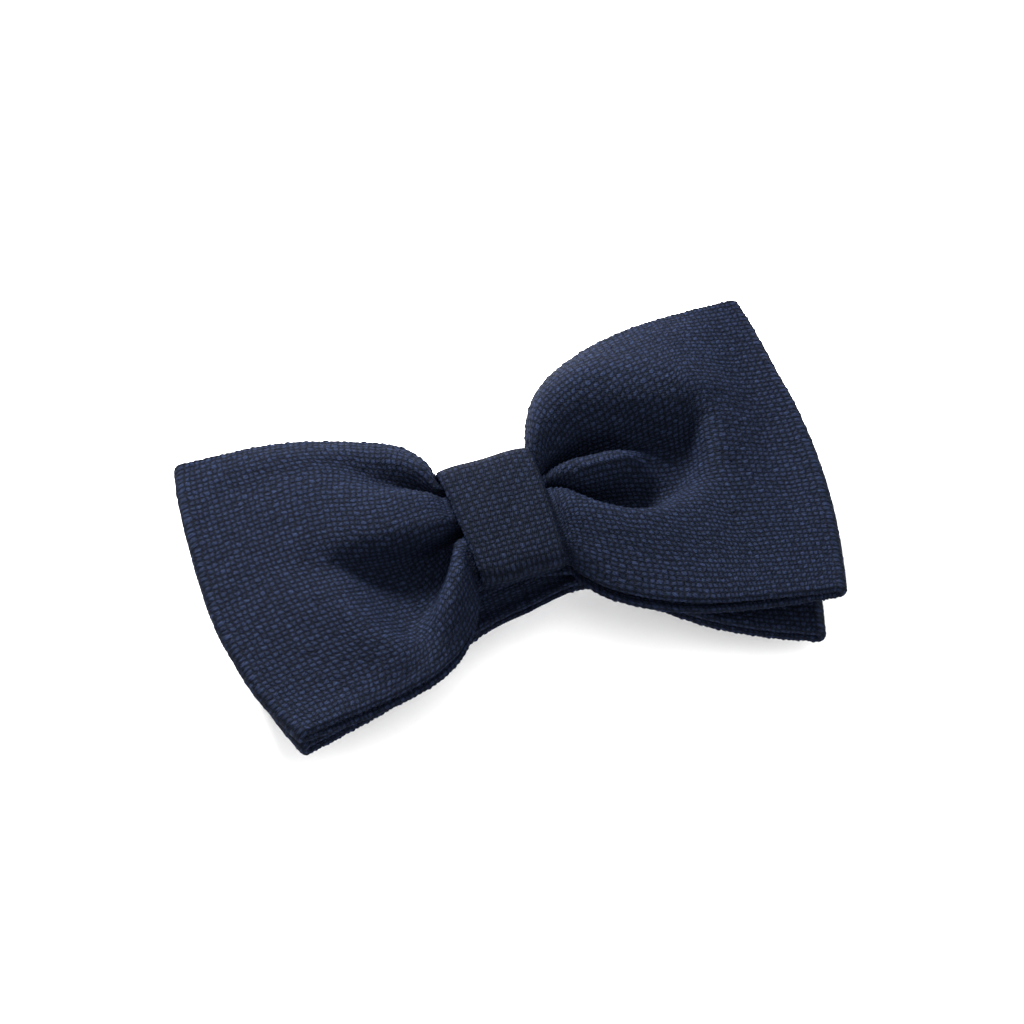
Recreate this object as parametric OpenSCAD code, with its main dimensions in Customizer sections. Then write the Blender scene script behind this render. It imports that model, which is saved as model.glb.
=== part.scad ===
// Hair bow on a French barrette.
// +X runs along the bow, +Y towards its upper edge, +Z out of its front face.
// The origin is on the table, under the middle of the bow lying on its clip.

/* [Bow] */
// Width of the bow from end fold to end fold
bow_w = 118; // [104:1:128]
// Height of the bow at its two ends
bow_h = 69; // [62:1:76]
// Thickness of a fabric wall: face, interlining and turned-in back
wall = 1.6; // [1.4:0.1:1.8]
// Height of the front loop where the knot gathers it
waist_h = 22.6; // [20:0.2:22.6]
// Depth of the front loop where the knot gathers it
waist_d = 5.8; // [5:0.2:5.8]
// Height of the back loop at its middle
back_waist_h = 36; // [30:1:44]
// How much shorter than the front loop the back loop is at each end
back_short = 2; // [1:0.5:5]

/* [Knot] */
// Width of the knot along the bow
knot_w = 18; // [16:0.5:18]
// Height of the knot
knot_h = 27.2; // [27.2:0.2:30]
// Depth of the knot from its back to its face
knot_d = 10.2; // [10.2:0.2:12]

/* [Barrette] */
// Length of the barrette's plate
plate_l = 76; // [74:1:80]
// Width of the plate
plate_w = 8.6; // [8.6:0.2:10]
// Thickness of the plate
plate_t = 0.8; // [0.6:0.1:0.8]
// Height of the plate's top above the table at the middle
plate_top = 9.6; // [9.6:0.1:10.5]
// Radius that the plate and the clasp arm are bent to
arch_r = 300; // [280:10:400]
// Width of the clasp arm
arm_w = 6.4; // [6:0.2:6.4]
// Thickness of the clasp arm
arm_t = 0.7; // [0.6:0.1:0.7]
// Free space between the plate and the clasp arm
grip_gap = 5.2; // [5:0.1:5.2]
// Radius of the hinge pin
pin_r = 0.6; // [0.5:0.05:0.6]

/* [Hidden] */

navy = [0.10, 0.13, 0.22];
thread_navy = [0.07, 0.09, 0.16];
canvas_white = [0.86, 0.85, 0.80];
felt_navy = [0.09, 0.11, 0.17];
steel = [0.74, 0.75, 0.77];
spring_steel = [0.60, 0.62, 0.66];

lining_in = 0.5;          // depth of the interlining under the wall's face
lining_t = 0.6;           // thickness of the interlining
lining_edge = 1.2;        // how far the interlining stops short of a wall's edge
slack = 0.02;             // clearance round a piece that is shut in
thread_d = 0.5;           // diameter of a sewing thread
lashing_d = 0.4;          // diameter of the thread that ties the barrette on
knot_r = 2.5;             // radius of the knot's long corners
knot_wall = 1.5;

felt_gap = 0.06;          // clearance under and over the felt
felt_t = 0.9;
felt_l = 66;
felt_w = 14;

hinge_x = -32.5;          // hinge pin, along the barrette
hinge_z = 2.7;            // hinge pin, above the table
ear_y = 3.5;              // inner face of an ear
ear_t = 0.8;
ear_l = 4.6;
knuckle_r = 1.3;
eye_r = 1.2;
running = 0.05;           // radial clearance on the hinge pin
side_gap = 0.3;           // clearance between neighbours on the hinge pin
eye_w = 2.8;              // width of the tension bar and of its eye
hole_x = 36.2;            // sewing hole at each end of the plate
hole_r = 0.9;

catch_x = 30.5;           // middle of the catch
catch_l = 6;
catch_w = 6.4;
catch_t = 0.5;
rivet_r = 0.7;
rivet_head_r = 1.05;
rivet_pitch = 2.4;
prong_l = 3.6;
prong_y = 1.5;            // inner face of a prong
prong_t = 0.6;
pivot_y = 1.8;            // pivot bar at a prong's root
pivot_z = 5.9;
pivot_r = 0.45;
pivot_l = 5.8;
tab_t = 0.5;              // down-turned ends of the catch base that carry the pivot bars
tab_w = 5.2;
barb_out = 3.0;
barb_top = 0.9;
wing_out = 5.2;
wing_z = 3.6;             // lower face of a prong's finger wing
window_l = 4.4;
window_w = 5.2;
head_w = 8;
head_x = 26.5;            // where the arm widens into its head
arm_end = 34.8;
bar_end = 24.5;
bar_crown = -4;           // where the tension bar comes nearest to the plate
bar_t = 0.4;

gather_x = knot_w / 2 + 0.4;                   // where the front loop leaves its straight waist
half_l = bow_w / 2;
half_h = bow_h / 2;
back_l = half_l - back_short;
felt_low = plate_top + felt_gap;
back_base = felt_low + felt_t + felt_gap;      // back loop's back face at the middle
back_mid_t = 2 * wall + 0.4;                   // back loop's thickness at the middle
knot_low = back_base + back_mid_t + 0.05;      // knot's back face
knot_z = knot_low + knot_d / 2;                // middle of the knot and of the waist
plate_under = plate_top - plate_t;
arm_top = plate_under - grip_gap;
arm_under = arm_top - arm_t;

function smooth(a, b, x) = let (t = min(1, max(0, (x - a) / (b - a)))) t * t * (3 - 2 * t);
function arch(x) = -x * x / (2 * arch_r);

// The two loops, seen along Y: each has a back face, a thickness and a rounded fold at its ends.
function loop_l(front) = front ? half_l : back_l;
function fold_r(front) = front ? 3.2 : 2.6;
function droop(x) = -0.002 * pow(max(0, abs(x) - 30), 2);
function low_face(front, x) =
    front ? knot_z - waist_d / 2 - 0.8 * smooth(gather_x, 20, abs(x)) - 5.6 * smooth(22, half_l + 1, abs(x))
          : back_base + arch(x) + droop(x);
function loop_t(front, x) =
    front ? waist_d + 4.4 * smooth(gather_x, 26, abs(x)) - 4.2 * smooth(30, half_l, abs(x))
          : back_mid_t + 1.6 * smooth(6, 26, abs(x)) - 0.6 * smooth(32, back_l, abs(x));
function cap(l, r, x) = let (d = max(0, abs(x) - (l - r)) / r) sqrt(max(0, 1 - d * d));
function loop_half(front, x, inset) =
    (loop_t(front, x) / 2 - inset) * cap(loop_l(front) - inset, fold_r(front) - inset, x);
function loop_mid(front, x) = low_face(front, x) + loop_t(front, x) / 2;
// Places along a loop of half-length l: straight through the knot, closer together at the end folds.
function stations(l) =
    concat([for (k = [15:-1:0]) -(gather_x + (l - gather_x) * sin(6 * k))],
           [for (k = [-2:2]) k * gather_x / 3],
           [for (k = [0:15]) gather_x + (l - gather_x) * sin(6 * k)]);
function loop_side(front, inset, side) =
    [for (x = stations(loop_l(front) - inset))
        [x, loop_mid(front, x) + side * loop_half(front, x, inset)]];
function loop_profile(front, inset) =
    let (up = loop_side(front, inset, 1), down = loop_side(front, inset, -1), n = len(up))
    concat(up, [for (i = [n - 2:-1:1]) down[i]]);
// The hollow of one wing, from the waist to the end fold.
function hollow_side(front, from, side) =
    let (l = loop_l(front) - wall)
    [for (k = [0:14]) let (x = from + (l - from) * sin(6 * k + 6),
                          open = smooth(from, from + 5, x))
        [x, loop_mid(front, x) + side * open * loop_half(front, x, wall)]];
function hollow_profile(front, from) =
    let (up = hollow_side(front, from, 1), down = hollow_side(front, from, -1), n = len(up))
    concat([[from, loop_mid(front, from)]], up, [for (i = [n - 2:-1:0]) down[i]]);

// The loops' outlines from the front: pinched at the middle, full height at the ends.
function flare(d) = 1 - exp(-max(0, d) / 13);
function loop_w(front, x) =
    front ? waist_h / 2 + (half_h - waist_h / 2) * flare(abs(x) - gather_x) / flare(half_l - gather_x)
          : back_waist_h / 2 + (half_h - 0.5 - back_waist_h / 2) * smooth(3, back_l, abs(x));
function outline_side(front, inset, side) =
    [for (x = stations(loop_l(front))) [x, side * (loop_w(front, x) - inset)]];
function outline(front, inset) =
    let (up = outline_side(front, inset, 1), down = outline_side(front, inset, -1), n = len(up))
    concat(up, [for (i = [n - 1:-1:0]) down[i]]);

// A rectangle with arcs for corners.
function round_box(a, b, r) =
    [for (q = [0:3], k = [0:15:90]) let (t = 90 * q + k, sx = q == 0 || q == 3 ? 1 : -1, sy = q < 2 ? 1 : -1)
        [sx * (a - r) + r * cos(t), sy * (b - r) + r * sin(t)]];

// A bent strip seen along Y, from x = a to b, between two heights that follow the arch.
function strip_profile(a, b, low, high, n = 24) =
    concat([for (i = [0:n]) let (x = a + (b - a) * i / n) [x, high + arch(x)]],
           [for (i = [n:-1:0]) let (x = a + (b - a) * i / n) [x, low + arch(x)]]);

module along_y(w) { rotate([90, 0, 0]) linear_extrude(w, center = true) children(); }
module along_x(w) { rotate([90, 0, 90]) linear_extrude(w, center = true) children(); }

module loop_slab(front, inset) {
    along_y(bow_h + 10) polygon(loop_profile(front, inset));
}

module loop_outline(front, inset) {
    linear_extrude(60) polygon(outline(front, inset));
}

module loop_shell(front, outer, inner, edge) {
    intersection() {
        difference() {
            loop_slab(front, outer);
            loop_slab(front, inner);
        }
        loop_outline(front, edge);
    }
}

module loop_fabric(front, hollow_from) {
    difference() {
        intersection() {
            loop_slab(front, 0);
            loop_outline(front, 0);
        }
        for (m = [0, 1]) mirror([m, 0, 0])
            along_y(bow_h + 12) polygon(hollow_profile(front, hollow_from));
        loop_shell(front, lining_in - slack, lining_in + lining_t + slack, lining_edge - slack);
    }
}

module front_loop() { color(navy) loop_fabric(true, 11); }
module back_loop() { color(navy) loop_fabric(false, 9); }

module front_loop_interlining() {
    color(canvas_white) loop_shell(true, lining_in, lining_in + lining_t, lining_edge);
}

module back_loop_interlining() {
    color(canvas_white) loop_shell(false, lining_in, lining_in + lining_t, lining_edge);
}

module knot_ring(outer, inner, width) {
    translate([0, 0, knot_z]) along_x(width) difference() {
        polygon(round_box(knot_h / 2 - outer, knot_d / 2 - outer, knot_r - outer));
        polygon(round_box(knot_h / 2 - inner, knot_d / 2 - inner, knot_r - inner));
    }
}

module knot_wrap() {
    color(navy) difference() {
        knot_ring(0, knot_wall, knot_w);
        knot_ring(0.45 - slack, 0.95 + slack, knot_w - 2.4 + 2 * slack);
    }
}

module knot_interlining() { color(canvas_white) knot_ring(0.45, 0.95, knot_w - 2.4); }

// Four turns of thread round the front loop's waist, inside the knot.
module front_gather_thread() {
    color(thread_navy) for (k = [-1.5:1:1.5]) translate([k, 0, knot_z]) along_x(thread_d) difference() {
        polygon(round_box(waist_h / 2 + 0.6, waist_d / 2 + 0.6, 0.6));
        polygon(round_box(waist_h / 2 + 0.1, waist_d / 2 + 0.1, 0.1));
    }
}

// The thread that draws the back loop in, laid across it between its two walls.
module back_gather_thread() {
    color(thread_navy) translate([0, 0, back_base + back_mid_t / 2]) rotate([90, 0, 0])
        cylinder(h = back_waist_h - 4, d = 0.4, center = true, $fn = 24);
}

// Slanted stitches along the seam that closes the knot, on its lower back corner.
module knot_closing_stitches() {
    color(thread_navy) for (k = [-3:3]) translate([2.4 * k, -knot_h / 2 + 1.5, knot_low + 0.35])
        rotate([0, 62, 35]) cylinder(h = 1.8, d = thread_d, center = true, $fn = 20);
}

// Stitches that hold the knot, the back loop and the felt together.
module center_tack_stitches() {
    color(thread_navy) for (x = [-5, 5], y = [-5, 5]) translate([x, y, felt_low + 0.1])
        cylinder(h = knot_low + 1 - felt_low, d = thread_d, $fn = 20);
}

module felt_backing() {
    color(felt_navy) intersection() {
        along_y(felt_w) polygon(strip_profile(-felt_l / 2, felt_l / 2, felt_low, felt_low + felt_t));
        linear_extrude(30) polygon(round_box(felt_l / 2, felt_w / 2, 3));
    }
}

// Three turns of thread through a sewing hole and round the end of the plate.
module lashing() {
    color(thread_navy) for (k = [-1:1])
        translate([hole_x + 1.25, 0.45 * k, plate_top - plate_t / 2 + arch(hole_x)])
            rotate([90, 0, 0]) rotate_extrude($fn = 48) translate([1.5, 0]) circle(d = lashing_d, $fn = 20);
}

module hinge_end_lashing() { mirror([1, 0, 0]) lashing(); }
module catch_end_lashing() { lashing(); }

module ear() {
    translate([hinge_x, 0, 0]) rotate([90, 0, 0]) linear_extrude(ear_t, center = true) difference() {
        polygon(concat([for (a = [0:15:180]) [ear_l / 2 * cos(a), plate_under + arch(hinge_x) - 1 + 0.9 * sin(a)]],
                       [[-ear_l / 2, 0.8], [-ear_l / 2 + 0.8, 0], [ear_l / 2 - 0.8, 0], [ear_l / 2, 0.8]]));
        translate([0, hinge_z]) circle(r = pin_r + slack, $fn = 48);
    }
}

module ear_bracket() {
    for (s = [-1, 1]) translate([0, s * (ear_y + ear_t / 2), 0]) union() {
        ear();
        translate([hinge_x - ear_l / 2, -ear_t / 2, plate_under + arch(hinge_x) - 1.2]) cube([ear_l, ear_t, 1.5]);
    }
}

module barrette_plate() {
    color(steel) difference() {
        union() {
            intersection() {
                along_y(plate_w) polygon(strip_profile(-plate_l / 2, plate_l / 2, plate_under, plate_top));
                linear_extrude(30) polygon(round_box(plate_l / 2, plate_w / 2, plate_w / 2 - 0.6));
            }
            ear_bracket();
        }
        for (x = [-hole_x, hole_x]) translate([x, 0, 0]) cylinder(h = 20, r = hole_r, $fn = 48);
        for (s = [-1, 1]) translate([catch_x + s * rivet_pitch / 2, 0, plate_under - 3])
            cylinder(h = 6, r = rivet_r + slack, $fn = 48);
    }
}

module hinge_pin() {
    reach = ear_y + ear_t;
    color(spring_steel) translate([hinge_x, 0, hinge_z]) rotate([90, 0, 0]) union() {
        cylinder(h = 2 * reach + 0.2, r = pin_r, center = true, $fn = 48);
        for (s = [-1, 1]) translate([0, 0, s * (reach + 0.3)])
            cylinder(h = 0.5, r = 1.1, center = true, $fn = 48);
    }
}

module catch_base() {
    top = plate_under - slack;
    color(steel) difference() {
        union() {
            along_y(catch_w)
                polygon(strip_profile(catch_x - catch_l / 2, catch_x + catch_l / 2, top - catch_t, top, 6));
            for (s = [-1, 1]) {
                x = catch_x + s * (catch_l - tab_t) / 2;
                translate([x, 0, 0]) along_x(tab_t) polygon([
                    [-tab_w / 2, top - 0.3 + arch(x)], [-tab_w / 2, pivot_z], [-pivot_y, pivot_z - 0.9],
                    [pivot_y, pivot_z - 0.9], [tab_w / 2, pivot_z], [tab_w / 2, top - 0.3 + arch(x)]]);
            }
        }
        for (s = [-1, 1]) translate([catch_x + s * rivet_pitch / 2, 0, 0])
            cylinder(h = 12, r = rivet_r + slack, $fn = 48);
        for (s = [-1, 1]) translate([catch_x, s * pivot_y, pivot_z]) rotate([0, 90, 0])
            cylinder(h = catch_l + 2, r = pivot_r + running, center = true, $fn = 48);
    }
}

module catch_rivets() {
    base_low = plate_under - slack - catch_t;
    color(spring_steel) for (s = [-1, 1]) {
        x = catch_x + s * rivet_pitch / 2;
        low = base_low + arch(x + 1.3) - 0.02;
        translate([x, 0, low - 0.35]) cylinder(h = plate_top + arch(x) - low + 0.15, r = rivet_r, $fn = 48);
        translate([x, 0, low - 0.35]) cylinder(h = 0.35, r = rivet_head_r, $fn = 48);
    }
}

module arm_outline() {
    side = [[hinge_x, arm_w / 2], [head_x, arm_w / 2], [head_x + 1.2, head_w / 2],
            [arm_end - 2.4, head_w / 2], [arm_end - 0.7, head_w / 2 - 0.9], [arm_end, head_w / 2 - 2.4]];
    polygon(concat(side, [for (i = [len(side) - 1:-1:0]) [side[i][0], -side[i][1]]]));
}

module clasp_arm() {
    knuckle_w = arm_w / 2 - eye_w / 2 - side_gap;
    color(steel) difference() {
        union() {
            intersection() {
                along_y(head_w + 2) polygon(strip_profile(hinge_x, arm_end, arm_under, arm_top));
                linear_extrude(12) arm_outline();
            }
            translate([hinge_x, 0, hinge_z]) rotate([90, 0, 0])
                cylinder(h = arm_w, r = knuckle_r, center = true, $fn = 64);
        }
        translate([hinge_x - 2, -eye_w / 2 - side_gap, 0]) cube([4.4, eye_w + 2 * side_gap, 6]);
        translate([hinge_x, 0, hinge_z]) rotate([90, 0, 0])
            cylinder(h = arm_w + 2, r = pin_r + running, center = true, $fn = 64);
        translate([catch_x - window_l / 2, -window_w / 2, -1]) cube([window_l, window_w, 8]);
    }
    assert(knuckle_w > 1, "the arm's knuckles need room beside the tension bar's eye");
}

// The tension bar's centre line: a leaf bent more than the plate, from the top of its eye
// to its crown just under the plate and down again.
function bar_z(x) =
    let (eye_top = hinge_z + eye_r - bar_t / 2,
         crown = plate_under + arch(bar_crown) - side_gap - bar_t / 2,
         t = (x - bar_crown) / (hinge_x - bar_crown))
    crown - (crown - eye_top) * t * t;

module tension_bar() {
    n = 20;
    xs = [for (i = [0:n]) hinge_x + (bar_end - hinge_x) * i / n];
    color(spring_steel) difference() {
        union() {
            intersection() {
                along_y(eye_w) polygon(concat([for (x = xs) [x, bar_z(x) + bar_t / 2]],
                                              [for (i = [n:-1:0]) [xs[i], bar_z(xs[i]) - bar_t / 2]]));
                linear_extrude(12) polygon(round_box(2 * half_l, eye_w / 2, 0.1));
            }
            translate([hinge_x, 0, hinge_z]) rotate([90, 0, 0])
                cylinder(h = eye_w, r = eye_r, center = true, $fn = 64);
        }
        translate([hinge_x, 0, hinge_z]) rotate([90, 0, 0])
            cylinder(h = eye_w + 2, r = pin_r + running, center = true, $fn = 64);
    }
}

// One squeeze prong of the catch: pivot bar, leg, barb under the clasp arm and finger wing.
module prong() {
    outer = prong_y + prong_t;
    color(spring_steel) translate([catch_x, 0, 0]) union() {
        along_x(prong_l) polygon([
            [prong_y, 0], [outer, 0], [barb_out, barb_top - 0.2], [barb_out, barb_top],
            [outer, barb_top], [outer, pivot_z], [prong_y, pivot_z]]);
        along_x(prong_l) polygon([
            [outer - 0.1, wing_z + 0.3], [wing_out - 0.6, wing_z], [wing_out, wing_z + 0.15],
            [wing_out, wing_z + 0.6], [wing_out - 0.5, wing_z + 0.6], [outer - 0.1, wing_z + 1]]);
        translate([0, pivot_y, pivot_z]) rotate([0, 90, 0])
            cylinder(h = pivot_l, r = pivot_r, center = true, $fn = 48);
    }
}

module catch_prong_upper() { prong(); }
module catch_prong_lower() { mirror([0, 1, 0]) prong(); }

front_loop();
front_loop_interlining();
back_loop();
back_loop_interlining();
knot_wrap();
knot_interlining();
front_gather_thread();
back_gather_thread();
knot_closing_stitches();
center_tack_stitches();
felt_backing();
hinge_end_lashing();
catch_end_lashing();
barrette_plate();
hinge_pin();
catch_base();
catch_rivets();
clasp_arm();
tension_bar();
catch_prong_upper();
catch_prong_lower();
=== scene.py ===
"""Looks of a navy basket-weave hair bow on a French barrette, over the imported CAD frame.

Lengths are in millimetres in this script, and turn into metres where a mesh is made. Each wing of a loop
is one strip of lined cloth: it leaves the middle of the knot as the front panel, folds over at the wing's
end and comes back behind itself as the rear panel.
"""
import math
import bpy
import numpy as np
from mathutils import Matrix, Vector


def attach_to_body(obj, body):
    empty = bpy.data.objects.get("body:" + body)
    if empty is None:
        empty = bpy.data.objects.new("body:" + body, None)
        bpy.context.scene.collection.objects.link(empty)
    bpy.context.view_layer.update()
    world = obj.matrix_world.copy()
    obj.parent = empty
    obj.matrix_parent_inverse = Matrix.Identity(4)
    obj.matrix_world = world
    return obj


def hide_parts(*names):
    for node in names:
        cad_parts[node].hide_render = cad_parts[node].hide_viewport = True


MM = 0.001
CAMERA_TURN, CAMERA_RISE = -18.4, 58.0
CAMERA_DISTANCE = 1200.0
FRAME_WIDTH = 191.4           # width of the picture at the bow
AIM = (1.22, 0.24)            # the picture's centre, right of and above the knot's front centre
KNOT_FRONT = 24.45            # height of the knot's front
SENSOR = 36                   # width of the camera's sensor
FLOOR_SIZE, FLOOR_GAP = 6.0, 0.00005  # in metres: the paper's side, and how far it lies under the clip

STRIP_W = 69.0                # width of the finished strip that both loops are folded from
PANEL_T = 1.6                 # thickness of a panel: face, interlining and turned-in back
CANVAS_T = 0.4                # thickness of the interlinings
KNOT_T = 1.44                 # thickness of the knot's strip
CELL_U, CELL_V = 1.1, 1.1     # one crossing of the weave, along and across the strip
SAMPLES = 3                   # finished mesh points in each crossing, each way
GRID = 1.5 * CELL_U           # spacing of the points that the cloth is settled on
KNOT_X = 9.0                  # where the loops leave the knot
FOLD_REACH = 0.95             # how far the fold at a wing's end stands out past the panels
WEAVE_DEPTH = 0.3             # height of the weave's relief
FINE = (CELL_U / SAMPLES, CELL_V / SAMPLES)
PHASE = 0.5 / SAMPLES         # puts the mesh points at a crossing's middle and inside its edges
ARCH_R = 300.0                # radius of the plate's arch
FELT_UNDERSIDE = 9.66         # height of the felt's underside in the middle
FELT_T = 0.85                 # thickness of the felt
FELT_L, FELT_W = 66.0, 14.0   # length and width of the felt
UV_SCALE = 0.01               # a millimetre of cloth in the UV map

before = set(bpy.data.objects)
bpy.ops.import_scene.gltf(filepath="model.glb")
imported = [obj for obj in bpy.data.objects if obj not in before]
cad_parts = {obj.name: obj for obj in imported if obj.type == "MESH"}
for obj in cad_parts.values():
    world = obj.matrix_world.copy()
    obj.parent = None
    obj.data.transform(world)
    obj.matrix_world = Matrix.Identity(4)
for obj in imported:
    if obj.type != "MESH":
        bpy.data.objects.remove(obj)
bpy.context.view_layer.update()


# Camera, lights and floor

def make_camera():
    """The camera, turned and raised from straight in front of the bow."""
    turn, rise = math.radians(CAMERA_TURN), math.radians(CAMERA_RISE)
    back = Vector((math.sin(turn) * math.cos(rise), -math.cos(turn) * math.cos(rise), math.sin(rise)))
    right = Vector((math.cos(turn), math.sin(turn), 0))
    up = back.cross(right)
    target = Vector((0, 0, KNOT_FRONT)) + AIM[0] * right + AIM[1] * up
    data = bpy.data.cameras.new("camera")
    data.sensor_width = SENSOR
    data.lens = SENSOR * CAMERA_DISTANCE / FRAME_WIDTH
    data.clip_start, data.clip_end = 0.01, 20
    camera = bpy.data.objects.new("camera", data)
    camera.location = (target + back * CAMERA_DISTANCE) * MM
    camera.rotation_euler = back.to_track_quat("Z", "Y").to_euler()
    bpy.context.scene.collection.objects.link(camera)
    bpy.context.scene.camera = camera


def area_light(name, place, size, power):
    """A round soft light at a place in metres, which faces the bow."""
    data = bpy.data.lights.new(name, "AREA")
    data.shape = "DISK"
    data.size = size
    data.energy = power
    light = bpy.data.objects.new(name, data)
    light.location = place
    light.rotation_euler = Vector(place).to_track_quat("Z", "Y").to_euler()
    bpy.context.scene.collection.objects.link(light)


def make_studio():
    world = bpy.data.worlds.new("studio")
    bpy.context.scene.world = world
    bpy.context.scene.view_settings.view_transform = "Standard"
    world.use_nodes = True
    world.node_tree.nodes["Background"].inputs["Color"].default_value = (1, 1, 1, 1)
    world.node_tree.nodes["Background"].inputs["Strength"].default_value = 1.25
    area_light("key", (-0.1, 0.66, 0.44), 0.25, 40)
    area_light("fill", (0.3, -0.3, 1.3), 1.0, 6)
    area_light("low_fill", (0.2, -1.1, 0.5), 0.8, 10)


def make_floor():
    half = FLOOR_SIZE / 2
    mesh = bpy.data.meshes.new("floor")
    corners = [(-half, -half, 0), (half, -half, 0), (half, half, 0), (-half, half, 0)]
    mesh.from_pydata(corners, [], [(0, 1, 2, 3)])
    floor = bpy.data.objects.new("floor", mesh)
    floor.location.z = -FLOOR_GAP
    bpy.context.scene.collection.objects.link(floor)
    mesh.materials.append(floor_material())


# Materials

class Nodes:
    """A material's node tree, with short calls that make a node and return its output."""

    def __init__(self, name):
        self.material = bpy.data.materials.new(name)
        self.material.use_nodes = True
        self.tree = self.material.node_tree
        self.shader = self.tree.nodes["Principled BSDF"]

    def make(self, kind, output, inputs, **settings):
        node = self.tree.nodes.new(kind)
        for key, value in settings.items():
            setattr(node, key, value)
        for key, value in inputs.items():
            if isinstance(value, bpy.types.NodeSocket):
                self.tree.links.new(value, node.inputs[key])
            else:
                node.inputs[key].default_value = value
        return node.outputs[output]

    def math(self, operation, *values):
        return self.make("ShaderNodeMath", 0, dict(enumerate(values)), operation=operation)

    def mix(self, factor, a, b):
        """Mixes two numbers."""
        return self.make("ShaderNodeMix", 0, {0: factor, 2: a, 3: b})

    def mix_colour(self, factor, a, b):
        return self.make("ShaderNodeMix", 2, {0: factor, 6: a, 7: b}, data_type="RGBA")

    def vector(self, x, y, z):
        return self.make("ShaderNodeCombineXYZ", 0, {0: x, 1: y, 2: z})

    def noise(self, vector, scale, detail=2.0, roughness=0.5):
        inputs = {"Vector": vector, "Scale": scale, "Detail": detail, "Roughness": roughness}
        return self.make("ShaderNodeTexNoise", 0, inputs)

    def remap(self, value, low, high, to_low, to_high):
        return self.make("ShaderNodeMapRange", 0, {0: value, 1: low, 2: high, 3: to_low, 4: to_high})

    def scale_colour(self, colour, amount):
        grey = self.vector(amount, amount, amount)
        inputs = {0: 1.0, 6: colour, 7: grey}
        return self.make("ShaderNodeMix", 2, inputs, data_type="RGBA", blend_type="MULTIPLY")

    def bump(self, height, distance, strength=1.0):
        inputs = {"Height": height, "Distance": distance, "Strength": strength}
        return self.make("ShaderNodeBump", 0, inputs)

    def axes(self, vector):
        """The three parts of a vector."""
        return self.make("ShaderNodeSeparateXYZ", slice(None), {0: vector})

    def finish(self, **inputs):
        """Joins values to the shader's inputs, whose names have _ for a space."""
        for key, value in inputs.items():
            socket = self.shader.inputs[key.replace("_", " ")]
            if isinstance(value, bpy.types.NodeSocket):
                self.tree.links.new(value, socket)
            else:
                socket.default_value = value
        return self.material


def tint(red, green, blue):
    """A colour given as on a screen, 0 to 255, as the shader wants it."""
    def linear(c):
        c = c / 255
        return c / 12.92 if c < 0.04045 else ((c + 0.055) / 1.055) ** 2.4
    return (linear(red), linear(green), linear(blue), 1)


def weave_material(name, yarn, gap):
    """Navy cloth from its own coordinates: a pebble of yarn in each crossing, with a longer and lighter
    one in every third crossing, a step further along in each row."""
    n = Nodes(name)
    cloth = n.make("ShaderNodeUVMap", 0, {}, uv_map="cloth")
    along, across, _ = n.axes(cloth)
    turned = n.vector(across, along, 3.7)
    wander_a = n.remap(n.noise(cloth, 34.0, 5.0, 0.72), 0, 1, 0.0, 1.3)
    wander_b = n.remap(n.noise(turned, 34.0, 5.0, 0.72), 0, 1, 0.0, 1.3)
    a = n.math("MULTIPLY_ADD", along, 1 / (UV_SCALE * CELL_U), wander_a)
    b = n.math("MULTIPLY_ADD", across, 1 / (UV_SCALE * CELL_V), wander_b)

    row, column = n.math("FLOOR", b), n.math("FLOOR", a)
    third = n.math("FRACT", n.math("DIVIDE", n.math("ADD", n.math("ADD", row, column), 0.5), 3))
    is_float = n.math("LESS_THAN", third, 0.33)
    chance = n.make("ShaderNodeTexWhiteNoise", 0, {"Vector": n.vector(column, row, 0.0)})
    half_length, half_width = n.mix(is_float, 0.44, 0.56), 0.44
    off_a = n.math("DIVIDE", n.math("SUBTRACT", n.math("FRACT", a), 0.5), half_length)
    off_b = n.math("DIVIDE", n.math("SUBTRACT", n.math("FRACT", b), 0.5), half_width)
    blunt = n.math("POWER", n.math("ABSOLUTE", off_a), 2.4)
    reach = n.math("ADD", blunt, n.math("MULTIPLY", off_b, off_b))
    bulge = n.math("MAXIMUM", n.math("SUBTRACT", 1.0, reach), 0.0)

    twisted = n.math("MULTIPLY_ADD", a, 0.5, b)
    strands = n.math("ABSOLUTE", n.math("SINE", n.math("MULTIPLY", twisted, 2.5 * math.pi)))
    hairs = n.vector(n.math("MULTIPLY", a, 3.4), n.math("MULTIPLY", b, 5.2), 0.0)
    fibres = n.noise(hairs, 1.0, 3.0, 0.75)
    plain_light = n.math("MULTIPLY_ADD", chance, 0.4, 0.6)
    float_light = n.math("MULTIPLY_ADD", chance, 0.45, 0.8)
    light = n.mix(is_float, plain_light, float_light)
    dark_hairs = n.remap(fibres, 0.32, 0.68, 0.3, 1.7)
    fuzz = n.math("MULTIPLY", dark_hairs, n.math("MULTIPLY_ADD", strands, 0.5, 0.7))
    # From the gap colour up to the yarn colour with the pebble's height: painted shade in the hollows
    # between the yarns.
    unshaded_share = n.remap(n.math("MULTIPLY_ADD", fibres, 0.8, bulge), 0.3, 1.2, 0.0, 1.0)
    yarn_colour = n.scale_colour(yarn, n.math("MULTIPLY", light, fuzz))
    colour = n.mix_colour(unshaded_share, n.scale_colour(gap, fuzz), yarn_colour)

    height = n.math("MULTIPLY_ADD", strands, 0.22, bulge)
    height = n.math("MULTIPLY_ADD", fibres, 0.3, height)
    return n.finish(Base_Color=colour, Normal=n.bump(height, 0.00026, 0.9),
                    Roughness=n.remap(fibres, 0, 1, 0.65, 0.9), Specular_IOR_Level=0.02,
                    Sheen_Weight=0.015, Sheen_Roughness=0.4, Sheen_Tint=tint(90, 120, 200))


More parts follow.
